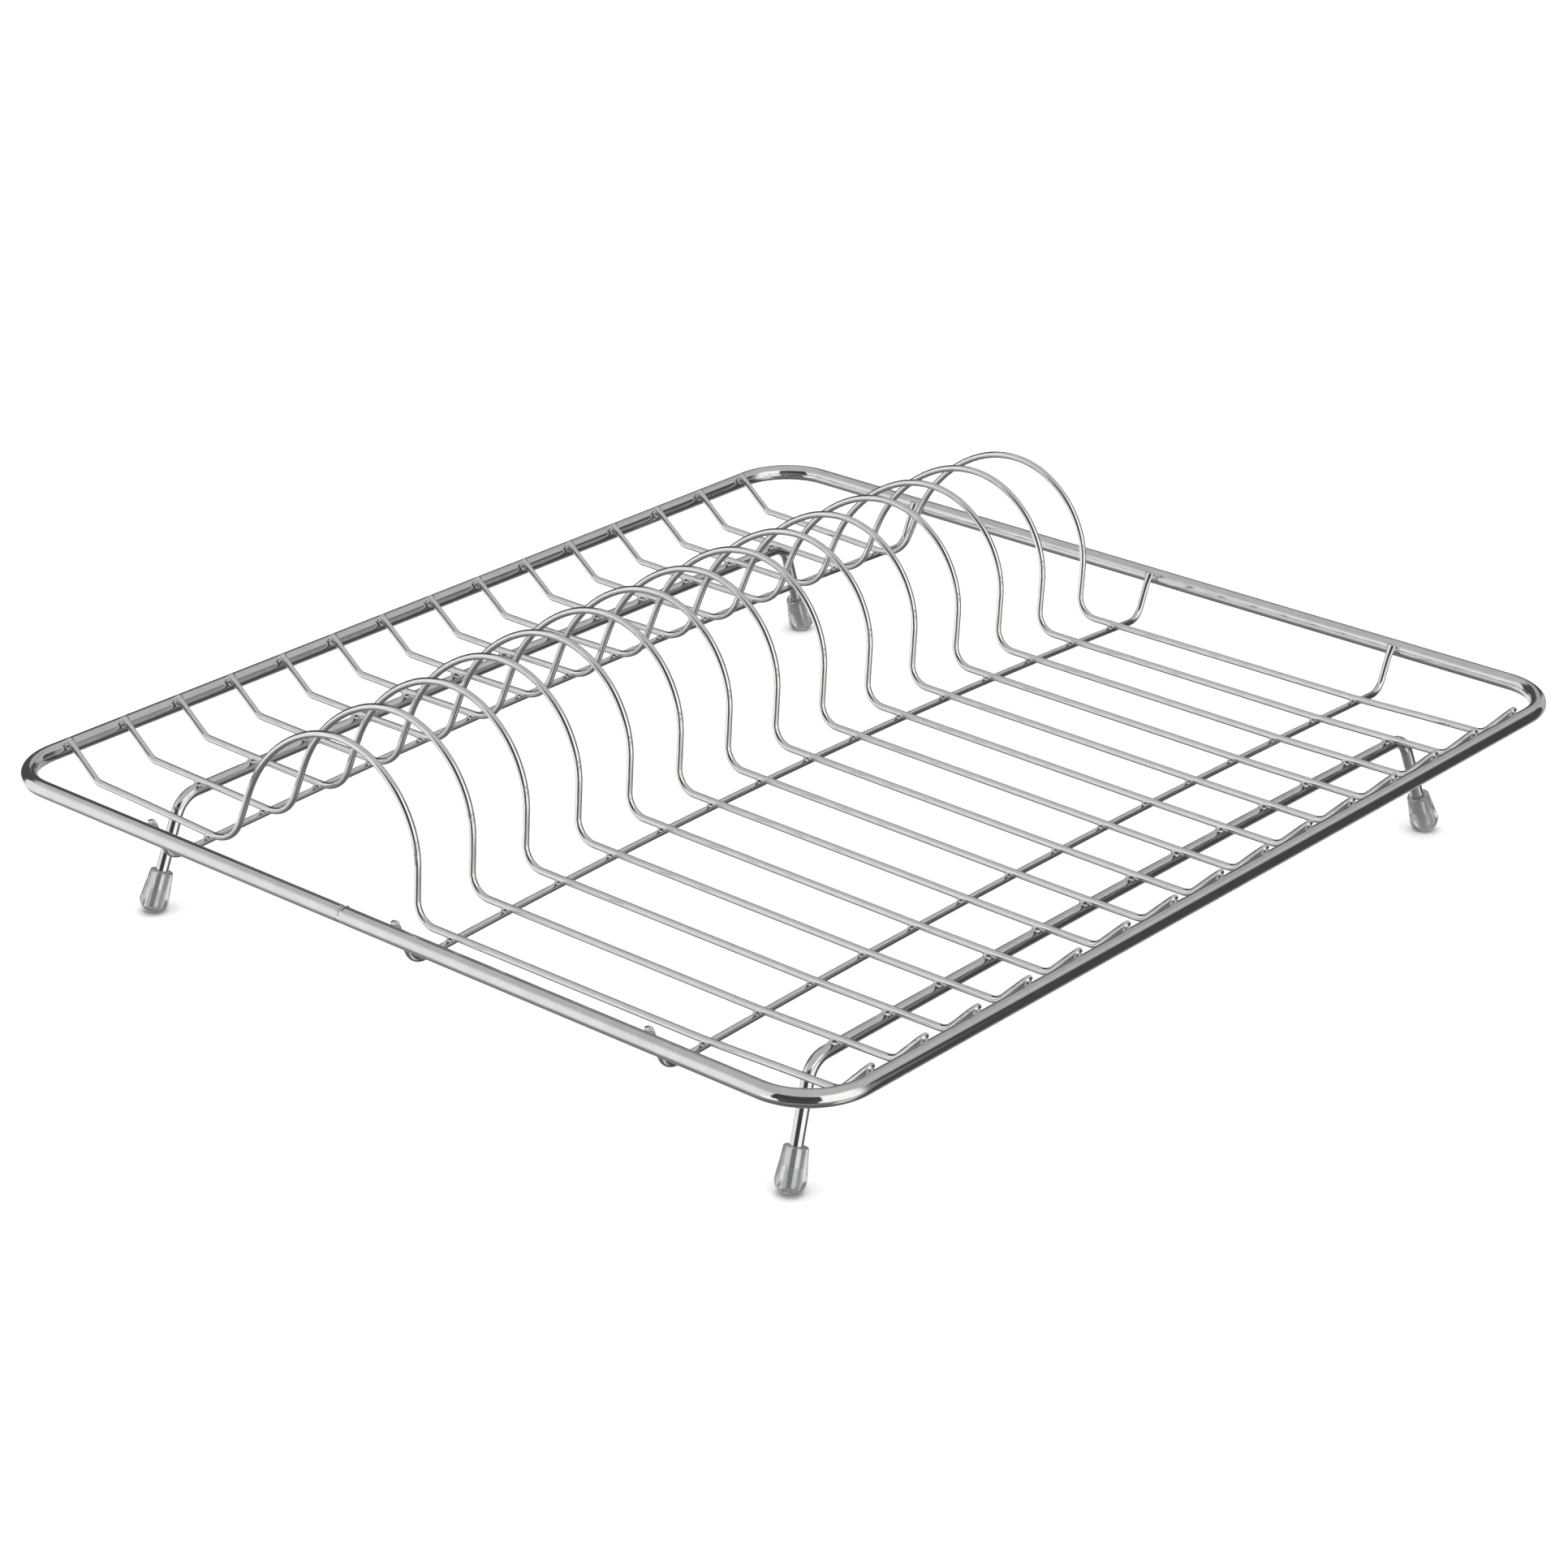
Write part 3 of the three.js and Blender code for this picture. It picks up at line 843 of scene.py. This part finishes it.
def add_floor():
    material, tree = empty_material("studio_floor")
    place = add(tree, "ShaderNodeTexCoord").outputs["Object"]
    mottle = cloud(tree, place, 3.0, 4.0)
    colour = mix_colours(tree, mottle, (0.86, 0.86, 0.86, 1), (0.89, 0.89, 0.888, 1))
    shader = add(tree, "ShaderNodeBsdfPrincipled", {
        "Base Color": colour,
        "Roughness": 0.9,
        "Specular IOR Level": 0.1,
    })
    add(tree, "ShaderNodeOutputMaterial", {"Surface": shader.outputs["BSDF"]})
    count = FLOOR_CELLS + 1
    ticks = np.linspace(-FLOOR_HALF, FLOOR_HALF, count)
    vertices = [(x, y, -FLOOR_BELOW) for y in ticks for x in ticks]
    faces = []
    for row in range(FLOOR_CELLS):
        for k in range(FLOOR_CELLS):
            near, far = row * count + k, (row + 1) * count + k
            faces.append([near, near + 1, far + 1, far])
    floor = make_piece("studio_floor", vertices, faces, material)
    floor.visible_glossy = False
    floor.visible_transmission = False


# What the chrome mirrors: a light tent with bright panels and dark openings. The first row for each
# panel or opening says what it is. A row is (azimuth from, to, elevation from, to, softness of the
# sides, softness of the top and bottom, brightness). Azimuth is counted from +X towards +Y, and angles
# are in degrees. Later rows cover earlier ones.
CHROME_REFLECTS = 0.63  # brightnesses are as seen in chrome that reflects this share
PANELS = [
    (100, 172, -32, 34, 6, 14, 0.72),  # panel at the left, with two brighter stretches low down
    (50, 126, -32, -14, 6, 4, 0.72),
    (152, 190, -34, -10, 6, 4, 0.95),
    (291, 346, -60, 28, 3, 3, 0.19),  # dark side at the right, darkest away from the camera
    (313, 346, -60, 28, 2, 3, 0.052),
    (230, 298, -30, 48, 12, 8, 0.9),  # bright panel at the right of the camera
    (170, 238, -14, 42, 2, 4, 0.045),  # dark opening round the camera, narrower low down
    (177, 234, -38, -14, 2, 2, 0.045),
    (268, 302, -64, -40, 5, 5, 0.6),  # light on the floor at the right
    (14, 100, -12, 38, 4, 4, 0.06),  # dark opening at the rear, with a grey corner above it
    (0, 46, 20, 45, 4, 4, 0.34),
    (318, 344, 27, 32, 4, 2, 0.2),  # grey strip over the dark side
]
DARK_TINT = (0.98, 1.0, 1.01, 1)
LIGHT_TINT = (1.01, 1.0, 0.96, 1)
BACKDROP = 0.85  # the plain wall that a low view sees behind the floor

# Brightness by elevation where there is no panel or opening.
DOME = [(-90, 0.1), (-60, 0.12), (-42, 0.22), (-25, 0.32), (0, 0.37), (35, 0.42), (75, 0.42), (90, 0.42)]


def window(tree, value, low, high, soft):
    """1 between low and high, 0 outside, with edges as soft as asked."""
    rise = remap(tree, value, low - soft, low + soft, 0, 1, "SMOOTHSTEP")
    fall = remap(tree, value, high - soft, high + soft, 1, 0, "SMOOTHSTEP")
    return calculate(tree, "MULTIPLY", rise, fall)


def add_world():
    world = bpy.data.worlds.new("light_tent")
    bpy.context.scene.world = world
    world.use_nodes = True
    tree = world.node_tree
    tree.nodes.clear()
    place = add(tree, "ShaderNodeTexCoord").outputs["Generated"]
    outwards = add(tree, "ShaderNodeVectorMath", {0: place}, operation="NORMALIZE").outputs["Vector"]
    split = add(tree, "ShaderNodeSeparateXYZ", {"Vector": outwards})
    turn = calculate(tree, "ARCTAN2", split.outputs["Y"], split.outputs["X"])
    azimuth = calculate(tree, "WRAP", calculate(tree, "DEGREES", turn), 360.0, 0.0)
    elevation = calculate(tree, "DEGREES", calculate(tree, "ARCSINE", split.outputs["Z"]))
    level = dome_level(tree, elevation)
    for left, right, bottom, top, soft_sides, soft_ends, brightness in PANELS:
        sideways = window(tree, azimuth, left, right, soft_sides)
        upwards = window(tree, elevation, bottom, top, soft_ends)
        share = calculate(tree, "MULTIPLY", sideways, upwards)
        level = mix_values(tree, share, level, brightness)
    tint = mix_colours(tree, level, DARK_TINT, LIGHT_TINT)
    scaled = calculate(tree, "DIVIDE", level, CHROME_REFLECTS)
    tent = add(tree, "ShaderNodeBackground", {"Color": tint, "Strength": scaled})
    wall = add(tree, "ShaderNodeBackground", {"Color": (1, 1, 1, 1), "Strength": BACKDROP})
    seen = add(tree, "ShaderNodeLightPath").outputs["Is Camera Ray"]
    surface = add(tree, "ShaderNodeMixShader", {
        0: seen,
        1: tent.outputs["Background"],
        2: wall.outputs["Background"],
    })
    add(tree, "ShaderNodeOutputWorld", {"Surface": surface.outputs["Shader"]})


def dome_level(tree, elevation):
    """Brightness of the tent by elevation alone."""
    lowest, highest = DOME[0][0], DOME[-1][0]
    share = remap(tree, elevation, lowest, highest, 0, 1)
    ramp = add(tree, "ShaderNodeValToRGB", {"Fac": share})
    steps = ramp.color_ramp.elements
    while len(steps) < len(DOME):
        steps.new(0.5)
    for step, (angle, brightness) in zip(steps, DOME):
        step.position = (angle - lowest) / (highest - lowest)
        step.color = (brightness, brightness, brightness, 1)
    return ramp.outputs["Color"]


def mix_values(tree, share, low, high):
    difference = calculate(tree, "SUBTRACT", high, low)
    return calculate(tree, "MULTIPLY_ADD", difference, share, low)


# In metres and watts.
SOFTBOX_SIZE = 3.0
SOFTBOX_HEIGHT = 2.4
SOFTBOX_POWER = 78.0


def add_softbox():
    """Lights the scene from above. Its mirror image in the chrome would be too hard, so it has none."""
    light = bpy.data.lights.new("softbox", "AREA")
    light.shape = "SQUARE"
    light.size = SOFTBOX_SIZE
    light.energy = SOFTBOX_POWER
    softbox = bpy.data.objects.new("softbox", light)
    softbox.location = (0, 0, SOFTBOX_HEIGHT)
    softbox.visible_glossy = False
    softbox.visible_transmission = False
    bpy.context.scene.collection.objects.link(softbox)


# Place and target in metres, lens in millimetres.
CAMERA_PLACE = Vector((-1.02609, -0.90229, 0.65264))
CAMERA_TARGET = Vector((-0.03508, -0.02523, 0.053))
CAMERA_LENS = 96.62
CAMERA_ROLL = math.radians(-0.33)
CAMERA_SENSOR = 36.0
CAMERA_CLIP_END = 50.0


def add_camera():
    camera = bpy.data.cameras.new("camera")
    camera.lens = CAMERA_LENS
    camera.sensor_width = CAMERA_SENSOR
    camera.clip_end = CAMERA_CLIP_END
    holder = bpy.data.objects.new("camera", camera)
    aim = (CAMERA_TARGET - CAMERA_PLACE).to_track_quat("-Z", "Y").to_matrix().to_4x4()
    holder.matrix_world = Matrix.Translation(CAMERA_PLACE) @ aim @ Matrix.Rotation(CAMERA_ROLL, 4, "Z")
    bpy.context.scene.collection.objects.link(holder)
    bpy.context.scene.camera = holder


add_wires()
add_welds()
add_caps()
add_floor()
add_world()
add_softbox()
add_camera()
bpy.context.scene.view_settings.view_transform = "Standard"
